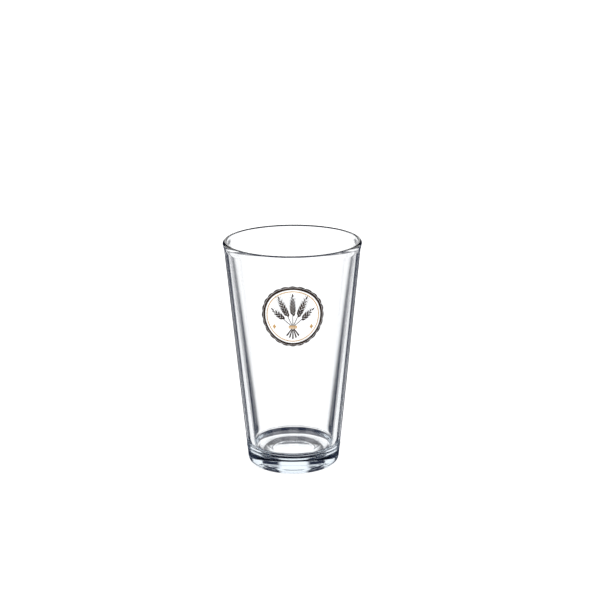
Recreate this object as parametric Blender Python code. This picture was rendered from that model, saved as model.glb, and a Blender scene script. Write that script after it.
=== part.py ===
"""Pint glass: a pressed soda-lime tumbler with a two-colour enamel print fired onto its wall.

Metres, +Z up. The origin is the centre of the foot, on the surface that the glass stands on.
The print faces -Y. Its inks are thin raised patches, one object for each patch of ink.
"""

import math

import bmesh
import bpy

MM = 0.001

# Driving dimensions of the glass
HEIGHT = 149.2 * MM
RIM_RADIUS = 44.45 * MM  # to the outside of the rim bead
FOOT_RADIUS = 29.5 * MM  # where the straight outer wall would reach the table
WALL_AT_RIM = 2.7 * MM
WALL_AT_FLOOR = 4.5 * MM
FLOOR_HEIGHT = 12.0 * MM

# Rim bead: an elliptical roll that stands a little proud of the outer wall
BEAD_PROUD = 0.35 * MM
BEAD_HALF_WIDTH = 1.6 * MM
BEAD_HALF_HEIGHT = 2.0 * MM
BEAD_SHOULDER = 3.5 * MM  # height over which the bead eases into the wall

# Foot, heel and floor
HEEL_RADIUS = 4.5 * MM
CORNER_RADIUS = 4.0 * MM  # inside, between the floor and the wall
FLOOR_DISH = 0.5 * MM
BEARING_INNER_RADIUS = 20.5 * MM
PUSH_UP = 1.6 * MM  # hollow under the foot, inside the bearing ring

# Parting line left by the joint between the mould's body and its bottom plate
PARTING_HEIGHT = 11.6 * MM
PARTING_HALF_HEIGHT = 0.55 * MM
PARTING_PROUD = 0.2 * MM

SEGMENTS = 96
TAPER = (RIM_RADIUS - BEAD_PROUD - FOOT_RADIUS) / HEIGHT
WALL_TAPER = (WALL_AT_FLOOR - WALL_AT_RIM) / (HEIGHT - FLOOR_HEIGHT)
INNER_TAPER = TAPER + WALL_TAPER

# Print: a round badge with a sheaf of barley, laid out in the wall's own plane
PRINT_HEIGHT = 110.0 * MM  # the badge's centre above the table
INK_GAP = 0.12 * MM
INK_THICKNESS = 0.15 * MM
INK_STRIP = 2.0 * MM  # widest strip of an ink patch that is left unbent
CUT_SNAP = 0.0001 * MM
BORDER_OUTER = 19.5 * MM
BORDER_INNER = 17.6 * MM
SCALLOPS = 24
SCALLOP_DEPTH = 0.5 * MM
INNER_RING_OUTER = 16.7 * MM
INNER_RING_INNER = 16.1 * MM
HUB_BELOW_CENTRE = 7.0 * MM  # the stalks of the sheaf cross here
EAR_SPREAD = 24.0  # degrees from one ear to the next
EAR_START = 2.3 * MM
STALK_END = 6.9 * MM
KERNEL_START = 7.2 * MM
KERNEL_PITCH = 1.95 * MM
KERNEL_PAIRS = (4, 6, 6, 6, 4)  # in each ear, from left to right
KERNEL_REACH = 1.85 * MM
KERNEL_SHAPE = ((0.0, 0.3), (0.3, 0.75), (0.65, 1.0), (0.95, 0.9))  # shares of its pitch and of its reach
EAR_TIP = 1.9 * MM
STALK_HALF_WIDTH = 0.3 * MM
TIE_HALF_WIDTH = 2.7 * MM
TIE_HALF_HEIGHT = 0.85 * MM
TIE_BOW = 0.25  # how much taller the tie is in the middle
STALK_COUNT = 5
STALK_SPREAD = 17.0  # degrees from one cut stalk to the next
STALK_HALF_ANGLE = 4.0  # degrees, at the cut end
STALK_TOP = 1.5 * MM  # the cut stalks start this far below the hub
STALK_TOP_HALF_WIDTH = 1.6 * MM
STALK_LENGTH = 7.9 * MM
STALK_SHORTER = 0.5 * MM  # each stalk than its neighbour nearer the middle
NOTCH_LENGTH = 4.4 * MM  # from the hub to the notch between two stalks
STALK_ROWS = 3  # rows of faces from the tie to the cut ends
DOT_OFFSET = 11.8 * MM
DOT_HALF_WIDTH = 1.3 * MM
DOT_HALF_HEIGHT = 1.9 * MM


def outer_radius(z):
    """Radius of the straight outer wall at a height."""
    return FOOT_RADIUS + TAPER * z


def inner_radius(z):
    """Radius of the straight inner wall at a height."""
    return outer_radius(z) - WALL_AT_FLOOR + WALL_TAPER * (z - FLOOR_HEIGHT)


def steps(count):
    """Count + 1 shares from 0 to 1."""
    return [i / count for i in range(count + 1)]


def ease(share):
    """A smooth step from 0 to 1."""
    return share * share * (3 - 2 * share)


def fillet(radius_at, taper, z, radius, count):
    """Arc between a level surface at z and a leaning wall above it, from the level to the wall."""
    lean = math.atan(taper)
    centre_z = z + radius
    centre_r = radius_at(centre_z) - radius / math.cos(lean)
    turn = math.pi / 2 - lean
    angles = [-math.pi / 2 + turn * share for share in steps(count)]
    return [(centre_r + radius * math.cos(a), centre_z + radius * math.sin(a)) for a in angles]


def inside_profile():
    """Floor centre to the foot of the rim bead, as (radius, height)."""
    corner = fillet(inner_radius, INNER_TAPER, FLOOR_HEIGHT, CORNER_RADIUS, 5)
    floor_radius = corner[0][0]
    floor = [(floor_radius * s, FLOOR_HEIGHT - FLOOR_DISH * (1 - s * s)) for s in steps(4)[:-1]]
    wall_low, wall_high = corner[-1][1], HEIGHT - BEAD_HALF_HEIGHT
    heights = [wall_low + (wall_high - wall_low) * share for share in steps(4)[1:-1]]
    return floor + corner + [(inner_radius(z), z) for z in heights]


def bead_profile():
    """Over the rim, from the inner wall to the outer wall below the bead."""
    centre_r = RIM_RADIUS - BEAD_HALF_WIDTH
    centre_z = HEIGHT - BEAD_HALF_HEIGHT
    roll = []
    for share in steps(10):
        angle = math.pi * (1 - share)
        r = centre_r + BEAD_HALF_WIDTH * math.cos(angle)
        z = centre_z + BEAD_HALF_HEIGHT * math.sin(angle)
        roll.append((r, z))
    proud = RIM_RADIUS - outer_radius(centre_z)
    shoulder = []
    for share in steps(4)[1:]:
        z = centre_z - BEAD_SHOULDER * share
        shoulder.append((outer_radius(z) + proud * (1 - ease(share)), z))
    return roll + shoulder


def outside_profile():
    """Down the outer wall, over the parting line and round the heel to the foot's bearing ring."""
    wall_high = HEIGHT - BEAD_HALF_HEIGHT - BEAD_SHOULDER
    wall_low = PARTING_HEIGHT + PARTING_HALF_HEIGHT
    wall = [wall_high + (wall_low - wall_high) * share for share in steps(4)[1:]]
    line = [(outer_radius(z), z) for z in wall]
    for share in (-0.5, 0.0, 0.5):
        z = PARTING_HEIGHT - PARTING_HALF_HEIGHT * share
        line.append((outer_radius(z) + PARTING_PROUD * math.cos(share * math.pi / 2) ** 2, z))
    parting_low = PARTING_HEIGHT - PARTING_HALF_HEIGHT
    line.append((outer_radius(parting_low), parting_low))
    return line + fillet(outer_radius, TAPER, 0.0, HEEL_RADIUS, 6)[::-1]


def underside_profile():
    """From the bearing ring's inner edge up the hollow under the foot to the axis."""
    shares = steps(5)[::-1]
    return [(BEARING_INNER_RADIUS * s, PUSH_UP * (1 - s * s)) for s in shares]


def material(name, colour, roughness, transmission=0.0):
    made = bpy.data.materials.new(name)
    made.use_nodes = True
    shader = made.node_tree.nodes["Principled BSDF"]
    shader.inputs["Base Color"].default_value = (*colour, 1.0)
    shader.inputs["Roughness"].default_value = roughness
    shader.inputs["Metallic"].default_value = 0.0
    shader.inputs["Transmission Weight"].default_value = transmission
    made.diffuse_color = (*colour, 1.0)
    return made


def add_object(name, bm, surface):
    mesh = bpy.data.meshes.new(name)
    bm.to_mesh(mesh)
    bm.free()
    mesh.materials.append(surface)
    made = bpy.data.objects.new(name, mesh)
    bpy.context.scene.collection.objects.link(made)
    return made


def make_glass_body(surface):
    """The whole glass is one pressing, turned from its half profile."""
    bm = bmesh.new()
    profile = inside_profile() + bead_profile() + outside_profile() + underside_profile()
    verts = [bm.verts.new((r, 0.0, z)) for r, z in profile]
    for first, second in zip(verts, verts[1:]):
        bm.edges.new((first, second))
    glass = add_object("glass_body", bm, surface)
    screw = glass.modifiers.new("Turn", "SCREW")
    screw.axis = "Z"
    screw.steps = SEGMENTS
    screw.render_steps = SEGMENTS
    screw.use_merge_vertices = True
    screw.merge_threshold = 0.01 * MM
    screw.use_smooth_shade = True
    return glass


def bend_to_wall(bm):
    """Wraps flat ink round the wall: x runs round it, y up it and z off it."""
    for vert in bm.verts:
        around, up, lift = vert.co
        z = PRINT_HEIGHT + up
        radius = outer_radius(z) + INK_GAP + lift
        angle = around / outer_radius(PRINT_HEIGHT) - math.pi / 2
        vert.co = (radius * math.cos(angle), radius * math.sin(angle), z)


def finish_ink(name, bm, ink):
    """Thickens a flat patch, bends it round the wall and makes it an object."""
    top = bmesh.ops.extrude_face_region(bm, geom=bm.faces[:])["geom"]
    raised = [item for item in top if isinstance(item, bmesh.types.BMVert)]
    bmesh.ops.translate(bm, vec=(0.0, 0.0, INK_THICKNESS), verts=raised)
    bend_to_wall(bm)
    bmesh.ops.recalc_face_normals(bm, faces=bm.faces)
    if bm.calc_volume(signed=True) < 0:
        bmesh.ops.reverse_faces(bm, faces=bm.faces)
    return add_object(name, bm, ink)


def cut_into_strips(bm):
    """Cuts flat ink into upright strips narrow enough to follow the wall."""
    lines = int(BORDER_OUTER / INK_STRIP)
    for i in range(-lines, lines):
        cut = ((i + 0.5) * INK_STRIP, 0.0, 0.0)
        geometry = bm.verts[:] + bm.edges[:] + bm.faces[:]
        bmesh.ops.bisect_plane(bm, geom=geometry, dist=CUT_SNAP, plane_co=cut, plane_no=(1, 0, 0))


def make_patch(name, outline, ink):
    """An ink patch inside one closed outline of (around, up) points."""
    bm = bmesh.new()
    bm.faces.new([bm.verts.new((x, y, 0.0)) for x, y in outline])
    bmesh.ops.triangulate(bm, faces=bm.faces[:])
    cut_into_strips(bm)
    return finish_ink(name, bm, ink)


def make_ring(name, outer_at, inner_at, count, ink):
    """A ring of ink between two radii, each given as a function of the angle."""
    bm = bmesh.new()
    angles = [2 * math.pi * i / count for i in range(count)]
    directions = [(math.cos(a), math.sin(a)) for a in angles]
    inner, outer = [], []
    for angle, (x, y) in zip(angles, directions):
        inner.append(bm.verts.new((inner_at(angle) * x, inner_at(angle) * y, 0.0)))
        outer.append(bm.verts.new((outer_at(angle) * x, outer_at(angle) * y, 0.0)))
    for i in range(count):
        j = (i + 1) % count
        bm.faces.new((inner[i], outer[i], outer[j], inner[j]))
    return finish_ink(name, bm, ink)


def along(direction, distance, aside):
    """Point of the sheaf: a distance from the hub in a direction (degrees from up) and a step aside."""
    angle = math.radians(direction)
    x = distance * math.sin(angle) + aside * math.cos(angle)
    y = distance * math.cos(angle) - aside * math.sin(angle)
    return (x, y - HUB_BELOW_CENTRE)


def kernel_side(side, pairs):
    """One side of an ear, from its stalk to its tip, as (distance, aside) points."""
    points = []
    offset = 0.0 if side > 0 else 0.5 * KERNEL_PITCH
    for i in range(pairs):
        reach = KERNEL_REACH * math.sin(math.pi * (0.3 + 0.55 * (i + 0.5) / pairs))
        start = KERNEL_START + offset + i * KERNEL_PITCH
        for share, width in KERNEL_SHAPE:
            points.append((start + share * KERNEL_PITCH, side * width * reach))
    return points


def make_ear(name, direction, pairs, ink):
    """One ear of barley on its stalk: two staggered rows of kernels that meet in a pointed tip."""
    sides = []
    for side in (-1, 1):
        stalk = [(EAR_START, side * STALK_HALF_WIDTH), (STALK_END, side * STALK_HALF_WIDTH)]
        sides.append(stalk + kernel_side(side, pairs))
    left, right = sides
    tip = (KERNEL_START + (pairs + 0.5) * KERNEL_PITCH + EAR_TIP, 0.0)
    outline = [along(direction, s, w) for s, w in left + [tip] + right[::-1]]
    return make_patch(name, outline, ink)


def make_tie_band(ink):
    """A band with bowed sides that ties the sheaf."""
    outline = []
    for side in (1, -1):
        for share in steps(6):
            across = 2 * share - 1
            height = TIE_HALF_HEIGHT * (1 + TIE_BOW * (1 - across * across))
            outline.append((side * across * TIE_HALF_WIDTH, -side * height - HUB_BELOW_CENTRE))
    return make_patch("print_tie_band", outline, ink)


def make_stalks(ink):
    """The cut ends of the stalks, fanned out below the tie, with a notch between each two."""
    middle = (STALK_COUNT - 1) / 2
    ends = []
    for i in range(STALK_COUNT):
        direction = 180 + STALK_SPREAD * (middle - i)
        length = STALK_LENGTH - STALK_SHORTER * abs(middle - i)
        ends.append(along(direction + STALK_HALF_ANGLE, length, 0.0))
        ends.append(along(direction - STALK_HALF_ANGLE, length, 0.0))
        if i < STALK_COUNT - 1:
            ends.append(along(direction - STALK_SPREAD / 2, NOTCH_LENGTH, 0.0))
    bm = bmesh.new()
    columns = []
    for share, (end_x, end_y) in zip(steps(len(ends) - 1), ends):
        top_x = STALK_TOP_HALF_WIDTH * (2 * share - 1)
        top_y = -STALK_TOP - HUB_BELOW_CENTRE
        column = []
        for down in steps(STALK_ROWS):
            x = top_x + (end_x - top_x) * down
            y = top_y + (end_y - top_y) * down
            column.append(bm.verts.new((x, y, 0.0)))
        columns.append(column)
    for left, right in zip(columns, columns[1:]):
        for row in range(STALK_ROWS):
            bm.faces.new((left[row], left[row + 1], right[row + 1], right[row]))
    return finish_ink("print_stalks", bm, ink)


def make_dot(name, side, ink):
    x = side * DOT_OFFSET
    y = -HUB_BELOW_CENTRE
    half_width, half_height = DOT_HALF_WIDTH, DOT_HALF_HEIGHT
    outline = [(x + half_width, y), (x, y + half_height), (x - half_width, y), (x, y - half_height)]
    return make_patch(name, outline, ink)


def make_print(dark, tan):
    def scalloped(angle):
        return BORDER_OUTER + SCALLOP_DEPTH * abs(math.cos(SCALLOPS * angle / 2))

    make_ring("print_border_ring", scalloped, lambda angle: BORDER_INNER, SCALLOPS * 4, dark)
    make_ring("print_inner_ring", lambda angle: INNER_RING_OUTER, lambda angle: INNER_RING_INNER, 72, tan)
    names = ("left_outer", "left", "centre", "right", "right_outer")
    for i, name in enumerate(names):
        make_ear(f"print_ear_{name}", EAR_SPREAD * (i - 2), KERNEL_PAIRS[i], dark)
    make_tie_band(tan)
    make_stalks(dark)
    make_dot("print_dot_left", -1, tan)
    make_dot("print_dot_right", 1, tan)


def clear_scene():
    for existing in list(bpy.data.objects):
        bpy.data.objects.remove(existing, do_unlink=True)


clear_scene()
clear_glass = material("clear_glass", (0.93, 0.96, 0.97), 0.02, transmission=1.0)
dark_enamel = material("dark_enamel", (0.045, 0.026, 0.02), 0.35)
tan_enamel = material("tan_enamel", (0.58, 0.35, 0.13), 0.35)
make_glass_body(clear_glass)
make_print(dark_enamel, tan_enamel)
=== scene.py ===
"""Looks for the pint glass: a smoothly turned tumbler, its two-colour enamel print, and its studio.

The print is laid out flat, as (across, up) from the badge's centre, and then wrapped round the wall.
"""

import math
import random

import bmesh
import bpy
from mathutils import Matrix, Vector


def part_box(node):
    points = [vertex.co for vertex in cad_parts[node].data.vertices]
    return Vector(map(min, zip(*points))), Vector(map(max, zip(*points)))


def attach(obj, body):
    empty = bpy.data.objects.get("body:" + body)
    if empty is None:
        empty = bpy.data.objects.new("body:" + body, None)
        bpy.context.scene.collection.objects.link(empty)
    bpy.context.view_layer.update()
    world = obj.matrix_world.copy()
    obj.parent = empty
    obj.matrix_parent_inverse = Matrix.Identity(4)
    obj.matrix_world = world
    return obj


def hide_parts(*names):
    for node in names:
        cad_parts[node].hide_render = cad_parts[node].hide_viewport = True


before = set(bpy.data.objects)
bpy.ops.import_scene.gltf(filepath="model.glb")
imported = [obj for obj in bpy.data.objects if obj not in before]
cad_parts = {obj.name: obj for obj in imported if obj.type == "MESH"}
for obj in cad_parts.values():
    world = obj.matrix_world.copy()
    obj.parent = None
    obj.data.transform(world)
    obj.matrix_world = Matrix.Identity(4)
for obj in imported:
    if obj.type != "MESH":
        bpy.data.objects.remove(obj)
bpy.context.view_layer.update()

MM = 0.001

# Sizes that the frame gives
GLASS_LOW, GLASS_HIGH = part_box("glass_body")
HEIGHT = GLASS_HIGH.z
RIM_RADIUS = GLASS_HIGH.x
BADGE_LOW, BADGE_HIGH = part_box("print_border_ring")
BADGE_HEIGHT = (BADGE_LOW.z + BADGE_HIGH.z) / 2
BADGE_RADIUS = (BADGE_HIGH.z - BADGE_LOW.z) / 2
TIE_LOW, TIE_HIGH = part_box("print_tie_band")
HUB = (TIE_LOW.z + TIE_HIGH.z) / 2 - BADGE_HEIGHT  # where the stalks cross, from the badge's centre
DOT_LOW, DOT_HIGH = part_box("print_dot_right")

# Section of the pressing, as on the solid
FOOT_RADIUS = 29.5 * MM
WALL_AT_RIM = 2.7 * MM
WALL_AT_FLOOR = 4.5 * MM
FLOOR_HEIGHT = 12.0 * MM
BEAD_PROUD = 0.35 * MM
BEAD_HALF_WIDTH = 1.6 * MM
BEAD_HALF_HEIGHT = 2.0 * MM
BEAD_SHOULDER = 3.5 * MM
HEEL_RADIUS = 4.5 * MM
CORNER_RADIUS = 4.0 * MM
FLOOR_DISH = 0.5 * MM
BEARING_INNER_RADIUS = 20.5 * MM
PUSH_UP = 1.6 * MM
PARTING_HEIGHT = 11.6 * MM
PARTING_HALF_HEIGHT = 0.55 * MM
PARTING_PROUD = 0.2 * MM
TAPER = (RIM_RADIUS - BEAD_PROUD - FOOT_RADIUS) / HEIGHT
WALL_TAPER = (WALL_AT_FLOOR - WALL_AT_RIM) / (HEIGHT - FLOOR_HEIGHT)
SEGMENTS = 288

# Marks of the press that are too fine for the solid
PLUNGER_RING_RADIUS = 17.5 * MM
FOOT_RING_RADIUS = 14.0 * MM
FINE_RING_HALF_WIDTH = 0.7 * MM
FINE_RING_DEPTH = 0.05 * MM

# Glass: the light takes the tint as it passes through the thickness, and the density says how fast
GLASS_IOR = 1.51
GLASS_TINT = (0.70, 0.82, 0.92)
GLASS_TINT_DENSITY = 12.0
SMEAR_ROUGHNESS = 0.02
FLOW_LINE_HEIGHT = 0.004 * MM

# Ink
INK_LIFT = 0.05 * MM
INK_GRAIN_HEIGHT = 0.02 * MM
INK_ROUGHNESS = (0.28, 0.5)
INK_SPECULAR = 0.3
DARK_ENAMEL = ((0.020, 0.010, 0.006), (0.055, 0.032, 0.022))  # where thick, where thin
TAN_ENAMEL = ((0.56, 0.33, 0.12), (0.70, 0.46, 0.21))

# Print
RING_WIDTH = 1.9 * MM
SCALLOPS = 24
SCALLOP_DEPTH = 0.5 * MM
ENGRAVED_LINE = 0.12 * MM
ENGRAVED_LINE_IN = 0.55 * MM  # from the bottom of the scallops
INNER_RING_OUTER = 16.7 * MM
INNER_RING_INNER = 16.1 * MM
EAR_SPREAD = 24.0  # degrees between two ears
EAR_SEED = 4
KERNEL_START = 7.2 * MM
KERNEL_PITCH = 1.95 * MM
KERNEL_PAIRS = (4, 6, 6, 6, 4)
KERNEL_REACH = 1.85 * MM
TIP_KERNEL_HALF_WIDTH = 0.5 * MM
AWN_LENGTH = 2.6 * MM
AWN_REACH = 0.55 * MM
AWN_HALF_WIDTH = 0.09 * MM
STALK_START = 1.2 * MM
STALK_HALF_WIDTH = 0.26 * MM
CUT_STALK_SPREAD = 17.0  # degrees between two stalk ends
CUT_STALK_START = 1.45 * MM
CUT_STALK_LENGTH = 7.9 * MM
CUT_STALK_HALF_WIDTH = 0.28 * MM
CUT_STALK_FLARE = 0.26 * MM
CUT_STALK_SLANT = 0.35 * MM
LOZENGE_POINTS = 24
LOZENGE_HOLLOW = 2.3

# Camera, in metres, millimetres of lens and degrees
CAMERA_AWAY = 1.0
CAMERA_HEIGHT = 0.3918
CAMERA_LENS = 96.8
CAMERA_DOWN = 15.774
CAMERA_PAN = -0.27
CAMERA_ROLL = -0.3

# Studio, with angles in degrees: a dark room, eight equal windows and a strip of lamps all round
WHITE = 1.25
NIGHT = (0.024, 0.029, 0.050)
WINDOW_AZIMUTHS = range(0, 360, 45)
WINDOW_HALF_WIDTH = 12.0
WINDOW_SOFT = 2.5
WINDOW_ELEVATIONS = (-38, 36)
WINDOW_ENDS_SOFT = 3
STRIP_ELEVATIONS = (26.5, 31)
STRIP_ENDS_SOFT = 1
STAGE_HALF_SIDE = 8.0
TABLE_GREY = (0.25, 0.25, 0.25, 1.0)
TABLE_ROUGHNESS = 0.08
TABLE_GLOW = 0.85
CLOTH_COLOUR = (0.05, 0.06, 0.10, 1.0)
CLOTH_DEPTH = 1.0 * MM
LAMP_ELEVATION = 50
LAMP_SOFTNESS = 40


def steps(count):
    """Count + 1 shares from 0 to 1."""
    return [i / count for i in range(count + 1)]


def ease(share):
    return share * share * (3 - 2 * share)


# The glass


def outer_radius(z):
    return FOOT_RADIUS + TAPER * z


def inner_radius(z):
    return outer_radius(z) - WALL_AT_FLOOR + WALL_TAPER * (z - FLOOR_HEIGHT)


def fillet(radius_at, taper, z, radius, count):
    """Arc between a level surface at z and a leaning wall above it, from the level to the wall."""
    lean = math.atan(taper)
    centre_z = z + radius
    centre_r = radius_at(centre_z) - radius / math.cos(lean)
    turn = math.pi / 2 - lean
    angles = [-math.pi / 2 + turn * share for share in steps(count)]
    return [(centre_r + radius * math.cos(a), centre_z + radius * math.sin(a)) for a in angles]


def fine_ring(radius, ring_radius):
    """Height of a low round ridge at a radius, near a ring."""
    away = abs(radius - ring_radius) / FINE_RING_HALF_WIDTH
    return FINE_RING_DEPTH * math.cos(away * math.pi / 2) ** 2 if away < 1 else 0.0


def straight(radius_at, start, end, count):
    """Points of a straight wall between two heights, without its ends."""
    heights = [start + (end - start) * share for share in steps(count)[1:-1]]
    return [(radius_at(z), z) for z in heights]


def inside_profile():
    """Floor centre, floor, corner and inner wall, up to the bead."""
    corner = fillet(inner_radius, TAPER + WALL_TAPER, FLOOR_HEIGHT, CORNER_RADIUS, 16)
    points = []
    for share in steps(56)[:-1]:
        radius = corner[0][0] * share
        dish = FLOOR_DISH * (1 - share * share)
        points.append((radius, FLOOR_HEIGHT - dish + fine_ring(radius, PLUNGER_RING_RADIUS)))
    wall = straight(inner_radius, corner[-1][1], HEIGHT - BEAD_HALF_HEIGHT, 40)
    return points + corner + wall


def bead_profile():
    """Over the rim, from the inner wall to the outer wall below the bead."""
    centre_r, centre_z = RIM_RADIUS - BEAD_HALF_WIDTH, HEIGHT - BEAD_HALF_HEIGHT
    points = []
    for share in steps(36):
        angle = math.pi * (1 - share)
        r = centre_r + BEAD_HALF_WIDTH * math.cos(angle)
        z = centre_z + BEAD_HALF_HEIGHT * math.sin(angle)
        points.append((r, z))
    proud = RIM_RADIUS - outer_radius(centre_z)
    for share in steps(14)[1:]:
        z = centre_z - BEAD_SHOULDER * share
        points.append((outer_radius(z) + proud * (1 - ease(share)), z))
    return points


def outside_profile():
    """Down the outer wall, over the parting line and round the heel."""
    wall_high = HEIGHT - BEAD_HALF_HEIGHT - BEAD_SHOULDER
    line_high = PARTING_HEIGHT + PARTING_HALF_HEIGHT
    line_low = PARTING_HEIGHT - PARTING_HALF_HEIGHT
    points = straight(outer_radius, wall_high, line_high, 36)
    for share in steps(12):
        z = line_high + (line_low - line_high) * share
        points.append((outer_radius(z) + PARTING_PROUD * math.sin(math.pi * share) ** 2, z))
    heel = fillet(outer_radius, TAPER, 0.0, HEEL_RADIUS, 20)[::-1]
    return points + straight(outer_radius, line_low, heel[0][1], 5) + heel


def underside_profile():
    """The hollow under the foot, from the bearing ring's inner edge to the axis."""
    points = []
    for share in steps(56)[::-1]:
        radius = BEARING_INNER_RADIUS * share
        points.append((radius, PUSH_UP * (1 - share * share) + fine_ring(radius, FOOT_RING_RADIUS)))
    return points


def new_object(name, bm, surface):
    mesh = bpy.data.meshes.new(name)
    bm.to_mesh(mesh)
    bm.free()
    mesh.materials.append(surface)
    made = bpy.data.objects.new(name, mesh)
    bpy.context.scene.collection.objects.link(made)
    return made


def make_glass(surface):
    """The closed body of glass, turned from its half section."""
    profile = inside_profile() + bead_profile() + outside_profile() + underside_profile()
    bm = bmesh.new()
    rings = []
    for radius, z in profile[1:-1]:
        angles = [2 * math.pi * i / SEGMENTS for i in range(SEGMENTS)]
        rings.append([bm.verts.new((radius * math.cos(a), radius * math.sin(a), z)) for a in angles])
    top = bm.verts.new((0, 0, profile[0][1]))
    bottom = bm.verts.new((0, 0, profile[-1][1]))
    for i in range(SEGMENTS):
        j = (i + 1) % SEGMENTS
        bm.faces.new((top, rings[0][i], rings[0][j]))
        bm.faces.new((bottom, rings[-1][j], rings[-1][i]))
        for first, second in zip(rings, rings[1:]):
            bm.faces.new((first[i], second[i], second[j], first[j]))
    glass = new_object("glass", bm, surface)
    glass.data.shade_smooth()
    glass.visible_shadow = False
    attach(glass, "root")
    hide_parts("glass_body")


# Material nodes


def calc(tree, operation, *values):
    """A Math node over numbers or sockets."""
    node = tree.nodes.new("ShaderNodeMath")
    node.operation = operation
    for socket, value in zip(node.inputs, values):
        if isinstance(value, (int, float)):
            socket.default_value = value
        else:
            tree.links.new(value, socket)
    return node.outputs[0]


def product(tree, *values):
    result = values[0]
    for value in values[1:]:
        result = calc(tree, "MULTIPLY", result, value)
    return result


def fade(tree, value, start, end, low=0.0, high=1.0):
    """A smooth step from low to high as the value goes from start to end."""
    node = tree.nodes.new("ShaderNodeMapRange")
    node.interpolation_type = "SMOOTHSTEP"
    node.inputs["From Min"].default_value = start
    node.inputs["From Max"].default_value = end
    node.inputs["To Min"].default_value = low
    node.inputs["To Max"].default_value = high
    tree.links.new(value, node.inputs["Value"])
    return node.outputs["Result"]


def blend(tree, factor, first, second):
    """Mixes two (r, g, b) colours. A Mix node's colour sockets are inputs 6 and 7 and output 2."""
    node = tree.nodes.new("ShaderNodeMix")
    node.data_type = "RGBA"
    tree.links.new(factor, node.inputs["Factor"])
    node.inputs[6].default_value = (*first, 1.0)
    node.inputs[7].default_value = (*second, 1.0)
    return node.outputs[2]


def noise(tree, where, scale, detail=3.0):
    node = tree.nodes.new("ShaderNodeTexNoise")
    node.inputs["Scale"].default_value = scale
    node.inputs["Detail"].default_value = detail
    tree.links.new(where, node.inputs["Vector"])
    return node.outputs["Fac"]


def bump(tree, height, distance, shader):
    node = tree.nodes.new("ShaderNodeBump")
    node.inputs["Distance"].default_value = distance
    tree.links.new(height, node.inputs["Height"])
    tree.links.new(node.outputs["Normal"], shader.inputs["Normal"])


def start_material(name):
    made = bpy.data.materials.new(name)
    made.use_nodes = True
    tree = made.node_tree
    where = tree.nodes.new("ShaderNodeTexCoord").outputs["Object"]
    return made, tree, tree.nodes["Principled BSDF"], where


def glass_material():
    """Clear soda-lime glass with faint flow lines and a few smears. Its dark edges are refraction."""
    made, tree, shader, where = start_material("soda_lime_glass")
    shader.inputs["Base Color"].default_value = (1.0, 1.0, 1.0, 1.0)
    shader.inputs["IOR"].default_value = GLASS_IOR
    shader.inputs["Transmission Weight"].default_value = 1.0
    smear = noise(tree, where, 35.0, 5.0)
    tree.links.new(fade(tree, smear, 0.55, 0.8, high=SMEAR_ROUGHNESS), shader.inputs["Roughness"])
    bump(tree, noise(tree, where, 60.0, 1.0), FLOW_LINE_HEIGHT, shader)
    absorption = tree.nodes.new("ShaderNodeVolumeAbsorption")
    absorption.inputs["Color"].default_value = (*GLASS_TINT, 1.0)
    absorption.inputs["Density"].default_value = GLASS_TINT_DENSITY
    tree.links.new(absorption.outputs["Volume"], tree.nodes["Material Output"].inputs["Volume"])
    return made


def enamel_material(name, thick, thin):
    """Fired screen-printed enamel: uneven ink weight, a faint screen mesh and worn specks."""
    made, tree, shader, where = start_material(name)
    shader.inputs["Specular IOR Level"].default_value = INK_SPECULAR
    weight = fade(tree, noise(tree, where, 260.0, 4.0), 0.35, 0.75)
    colour = blend(tree, weight, thick, thin)
    tree.links.new(colour, shader.inputs["Base Color"])
    grain = noise(tree, where, 900.0, 2.0)
    tree.links.new(fade(tree, grain, 0.3, 0.7, *INK_ROUGHNESS), shader.inputs["Roughness"])
    bump(tree, noise(tree, where, 2600.0, 2.0), INK_GRAIN_HEIGHT, shader)
    return made


# The print


def wrap(across, up, lift):
    """Point on the wall's outside for a point of the flat print."""
    z = BADGE_HEIGHT + up
    radius = outer_radius(z) + lift
    angle = across / outer_radius(BADGE_HEIGHT) - math.pi / 2
    return (radius * math.cos(angle), radius * math.sin(angle), z)


def make_ink(node, surface, outlines=(), strips=()):
    """One ink layer. Outlines are small closed patches; strips are rows of paired points."""
    bm = bmesh.new()
    for outline in outlines:
        rim = [bm.verts.new(wrap(x, y, INK_LIFT)) for x, y in outline]
        middle_x = sum(x for x, _ in outline) / len(outline)
        middle_y = sum(y for _, y in outline) / len(outline)
        middle = bm.verts.new(wrap(middle_x, middle_y, INK_LIFT))
        for i in range(len(rim)):
            bm.faces.new((middle, rim[i - 1], rim[i]))
    for strip in strips:
        pairs = [[bm.verts.new(wrap(x, y, INK_LIFT)) for x, y in pair] for pair in strip]
        for first, second in zip(pairs, pairs[1:]):
            bm.faces.new((first[0], first[1], second[1], second[0]))
    bmesh.ops.recalc_face_normals(bm, faces=bm.faces[:])
    ink = new_object(node.replace("print_", "ink_"), bm, surface)
    ink.data.shade_smooth()
    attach(ink, "root")
    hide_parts(node)


def ring_strip(outer_at, inner_at, count):
    """A closed strip between two radii, each a function of the angle."""
    strip = []
    for i in range(count + 1):
        angle = 2 * math.pi * i / count
        inner, outer = inner_at(angle), outer_at(angle)
        inner_point = (inner * math.cos(angle), inner * math.sin(angle))
        outer_point = (outer * math.cos(angle), outer * math.sin(angle))
        strip.append((inner_point, outer_point))
    return strip


def along(direction, distance, aside):
    """Point of the sheaf: a distance from the hub in a direction (degrees from up) and a step aside."""
    angle = math.radians(direction)
    x = distance * math.sin(angle) + aside * math.cos(angle)
    y = distance * math.cos(angle) - aside * math.sin(angle)
    return (x, y + HUB)


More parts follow.
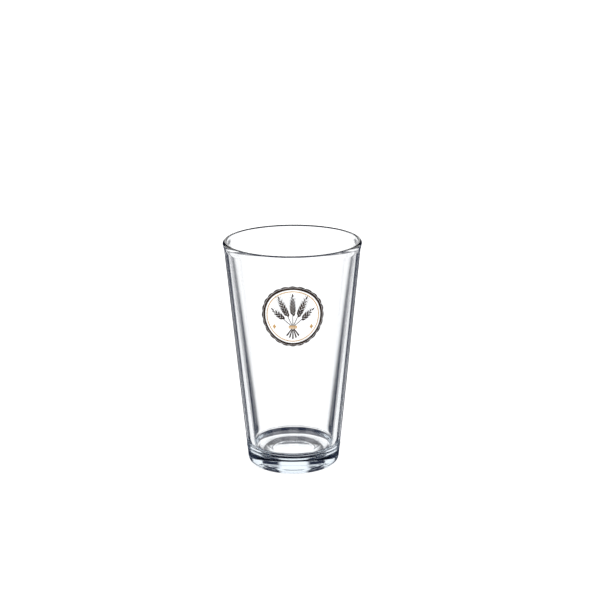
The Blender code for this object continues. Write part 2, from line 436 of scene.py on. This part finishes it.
def leaf(direction, start, end, half_width, count=9):
    """Almond outline between two (distance, aside) points of an ear."""
    length = math.dist(start, end)
    ahead = ((end[0] - start[0]) / length, (end[1] - start[1]) / length)
    points = []
    for side in (1, -1):
        shares = steps(count)[:-1] if side > 0 else steps(count)[:0:-1]
        for share in shares:
            bulge = side * half_width * math.sin(math.pi * share ** 0.8)
            distance = start[0] + ahead[0] * length * share - ahead[1] * bulge
            aside = start[1] + ahead[1] * length * share + ahead[0] * bulge
            points.append(along(direction, distance, aside))
    return points


def ear_outlines(direction, pairs, rng):
    """Kernels in two staggered rows, each with its awn, and one kernel at the tip."""
    outlines = []
    for side in (-1, 1):
        offset = 0.0 if side > 0 else 0.5 * KERNEL_PITCH
        for i in range(pairs):
            reach = KERNEL_REACH * math.sin(math.pi * (0.3 + 0.55 * (i + 0.5) / pairs))
            start = KERNEL_START + offset + i * KERNEL_PITCH
            length = KERNEL_PITCH * rng.uniform(1.3, 1.42)
            tip = (start + length, side * reach)
            outlines.append(leaf(direction, (start, side * 0.12 * MM), tip, 0.36 * reach))
            awn_start = (tip[0] - 0.3 * MM, side * 0.93 * reach)
            awn_end = (tip[0] + AWN_LENGTH * rng.uniform(0.8, 1.1), side * (reach + AWN_REACH))
            outlines.append(leaf(direction, awn_start, awn_end, AWN_HALF_WIDTH, 4))
    end = KERNEL_START + (pairs + 0.3) * KERNEL_PITCH
    tip_end = end + 1.5 * KERNEL_PITCH
    outlines.append(leaf(direction, (end, 0.0), (tip_end, 0.0), TIP_KERNEL_HALF_WIDTH))
    return outlines


def ear_stalk(direction, pairs):
    """The stalk, thinning towards the ear's tip."""
    end = KERNEL_START + pairs * KERNEL_PITCH
    strip = []
    for share in steps(6):
        distance = STALK_START + (end - STALK_START) * share
        half = STALK_HALF_WIDTH * (1 - 0.55 * share)
        strip.append((along(direction, distance, -half), along(direction, distance, half)))
    return strip


def make_ears(surface, rng):
    names = ("left_outer", "left", "centre", "right", "right_outer")
    for i, name in enumerate(names):
        direction = EAR_SPREAD * (i - 2)
        outlines = ear_outlines(direction, KERNEL_PAIRS[i], rng)
        strip = ear_stalk(direction, KERNEL_PAIRS[i])
        make_ink(f"print_ear_{name}", surface, outlines, [strip])


def make_rings(dark, tan):
    """The scalloped border with an engraved line in it, and the thin ring inside."""
    def scalloped(angle):
        return BADGE_RADIUS - SCALLOP_DEPTH * (1 - abs(math.cos(SCALLOPS * angle / 2)))

    inside = BADGE_RADIUS - SCALLOP_DEPTH - RING_WIDTH
    line = BADGE_RADIUS - SCALLOP_DEPTH - ENGRAVED_LINE_IN
    strips = [ring_strip(lambda angle: line, lambda angle: inside, 144)]
    strips.append(ring_strip(scalloped, lambda angle: line + ENGRAVED_LINE, SCALLOPS * 12))
    make_ink("print_border_ring", dark, strips=strips)
    thin = ring_strip(lambda angle: INNER_RING_OUTER, lambda angle: INNER_RING_INNER, 144)
    make_ink("print_inner_ring", tan, strips=[thin])


def make_tie(surface):
    """Two turns of binding with bowed edges."""
    half_width, half_height = TIE_HIGH.x, (TIE_HIGH.z - TIE_LOW.z) / 2
    strips = []
    for low, high in ((-1.0, -0.12), (0.06, 1.0)):
        strip = []
        for share in steps(12):
            across = 2 * share - 1
            bow = 0.8 + 0.2 * (1 - across * across)
            x = across * half_width
            strip.append(((x, HUB + low * half_height * bow), (x, HUB + high * half_height * bow)))
        strips.append(strip)
    make_ink("print_tie_band", surface, strips=strips)


def make_cut_stalks(surface):
    """Five stalk ends that fan out below the tie, each cut on the slant."""
    strips = []
    for i in range(-2, 3):
        direction = 180 - CUT_STALK_SPREAD * i
        length = CUT_STALK_LENGTH - 0.5 * MM * abs(i)
        strip = []
        for share in steps(5):
            distance = CUT_STALK_START + (length - CUT_STALK_START) * share
            half = CUT_STALK_HALF_WIDTH + CUT_STALK_FLARE * share
            slant = CUT_STALK_SLANT * share
            left = along(direction, distance - slant, -half)
            right = along(direction, distance + slant, half)
            strip.append((left, right))
        strips.append(strip)
    make_ink("print_stalks", surface, strips=strips)


def make_dots(surface):
    """A lozenge on each side of the sheaf, with hollow sides."""
    angle = math.asin((DOT_LOW.x + DOT_HIGH.x) / 2 / outer_radius(BADGE_HEIGHT + HUB))
    centre = angle * outer_radius(BADGE_HEIGHT)
    half_width, half_height = (DOT_HIGH.x - DOT_LOW.x) / 2, (DOT_HIGH.z - DOT_LOW.z) / 2
    for name, side in (("left", -1), ("right", 1)):
        outline = []
        for i in range(LOZENGE_POINTS):
            turn = 2 * math.pi * i / LOZENGE_POINTS
            x = math.copysign(abs(math.cos(turn)) ** LOZENGE_HOLLOW, math.cos(turn))
            y = math.copysign(abs(math.sin(turn)) ** LOZENGE_HOLLOW, math.sin(turn))
            outline.append((side * centre + half_width * x, HUB + half_height * y))
        make_ink(f"print_dot_{name}", surface, [outline])


# The studio


def window(tree, ahead, azimuth):
    """1 near an azimuth in degrees (0 is +Y, 90 is +X). Ahead is the level part of the direction."""
    x, y, level = ahead
    angle = math.radians(azimuth)
    sideways = calc(tree, "MULTIPLY", x, math.sin(angle))
    toward = calc(tree, "MULTIPLY_ADD", y, math.cos(angle), sideways)
    cosine = calc(tree, "DIVIDE", toward, level)
    dark = math.cos(math.radians(WINDOW_HALF_WIDTH + WINDOW_SOFT))
    bright = math.cos(math.radians(WINDOW_HALF_WIDTH - WINDOW_SOFT))
    return fade(tree, cosine, dark, bright)


def band(tree, z, low, high, soft):
    """1 between two elevations in degrees, with soft edges."""
    def height(elevation):
        return math.sin(math.radians(elevation))

    rise = fade(tree, z, height(low - soft), height(low + soft))
    fall = fade(tree, z, height(high - soft), height(high + soft), low=1.0, high=0.0)
    return product(tree, rise, fall)


def make_world():
    """A dark room with tall windows and a strip of lamps. The thick edges of the glass show the dark."""
    world = bpy.data.worlds.new("studio")
    bpy.context.scene.world = world
    world.use_nodes = True
    tree = world.node_tree
    axes = tree.nodes.new("ShaderNodeSeparateXYZ")
    tree.links.new(tree.nodes.new("ShaderNodeTexCoord").outputs["Generated"], axes.inputs[0])
    x, y, z = axes.outputs
    level = calc(tree, "SQRT", calc(tree, "ADD", product(tree, x, x), product(tree, y, y)))
    level = calc(tree, "MAXIMUM", level, 0.001)
    lit = 0.0
    for azimuth in WINDOW_AZIMUTHS:
        lit = calc(tree, "MAXIMUM", window(tree, (x, y, level), azimuth), lit)
    lit = product(tree, lit, band(tree, z, *WINDOW_ELEVATIONS, WINDOW_ENDS_SOFT))
    lit = calc(tree, "MAXIMUM", lit, band(tree, z, *STRIP_ELEVATIONS, STRIP_ENDS_SOFT))
    colour = blend(tree, lit, NIGHT, (WHITE, WHITE, WHITE))
    tree.links.new(colour, tree.nodes["Background"].inputs["Color"])


def make_sheet(name, z, shader_values):
    """A level square sheet of the stage, which isn't seen through the glass."""
    bm = bmesh.new()
    corners = ((-1, -1), (1, -1), (1, 1), (-1, 1))
    bm.faces.new([bm.verts.new((STAGE_HALF_SIDE * x, STAGE_HALF_SIDE * y, z)) for x, y in corners])
    surface = bpy.data.materials.new(name)
    surface.use_nodes = True
    shader = surface.node_tree.nodes["Principled BSDF"]
    for socket, value in shader_values.items():
        shader.inputs[socket].default_value = value
    sheet = new_object(name, bm, surface)
    sheet.visible_transmission = False
    return sheet


def make_cloth():
    """A dark sheet that only reflections see, so that the glass's sheen stays dark."""
    cloth = make_sheet("cloth", -CLOTH_DEPTH, {"Base Color": CLOTH_COLOUR, "Specular IOR Level": 0.0})
    cloth.visible_camera = False
    cloth.visible_diffuse = False
    cloth.visible_shadow = False


def make_table():
    """A pale glossy sheet with a glow of its own, which reflections don't see."""
    pale = {"Base Color": TABLE_GREY, "Roughness": TABLE_ROUGHNESS}
    pale["Emission Color"] = (1.0, 1.0, 1.0, 1.0)
    pale["Emission Strength"] = TABLE_GLOW
    table = make_sheet("table", 0.0, pale)
    table.visible_glossy = False


def make_lamp(name, azimuth, strength):
    """Soft light from far away on the ink and the table. The glass doesn't show it."""
    data = bpy.data.lights.new(name, "SUN")
    data.energy = strength
    data.angle = math.radians(LAMP_SOFTNESS)
    lamp = bpy.data.objects.new(name, data)
    lamp.rotation_euler = (math.radians(90 - LAMP_ELEVATION), 0, math.radians(-azimuth))
    lamp.visible_glossy = False
    lamp.visible_transmission = False
    bpy.context.scene.collection.objects.link(lamp)


def make_camera():
    data = bpy.data.cameras.new("camera")
    data.lens = CAMERA_LENS
    data.sensor_width = 36.0
    camera = bpy.data.objects.new("camera", data)
    camera.location = (0.0, -CAMERA_AWAY, CAMERA_HEIGHT)
    turn = Matrix.Identity(3)
    for angle, axis in ((CAMERA_PAN, "Z"), (90 - CAMERA_DOWN, "X"), (CAMERA_ROLL, "Z")):
        turn = turn @ Matrix.Rotation(math.radians(angle), 3, axis)
    camera.rotation_euler = turn.to_euler()
    bpy.context.scene.collection.objects.link(camera)
    bpy.context.scene.camera = camera


def set_light_paths():
    scene = bpy.context.scene
    scene.view_settings.view_transform = "Standard"
    scene.cycles.max_bounces = 32
    scene.cycles.transmission_bounces = 24
    scene.cycles.glossy_bounces = 12
    scene.cycles.caustics_refractive = False


dark_enamel = enamel_material("dark_brown_enamel", *DARK_ENAMEL)
tan_enamel = enamel_material("tan_enamel", *TAN_ENAMEL)
make_glass(glass_material())
make_rings(dark_enamel, tan_enamel)
make_ears(dark_enamel, random.Random(EAR_SEED))
make_tie(tan_enamel)
make_cut_stalks(dark_enamel)
make_dots(tan_enamel)

make_world()
make_table()
make_cloth()
make_lamp("front_lamp", 20, 1.5)
make_lamp("back_lamp", 200, 1.0)
make_camera()
set_light_paths()
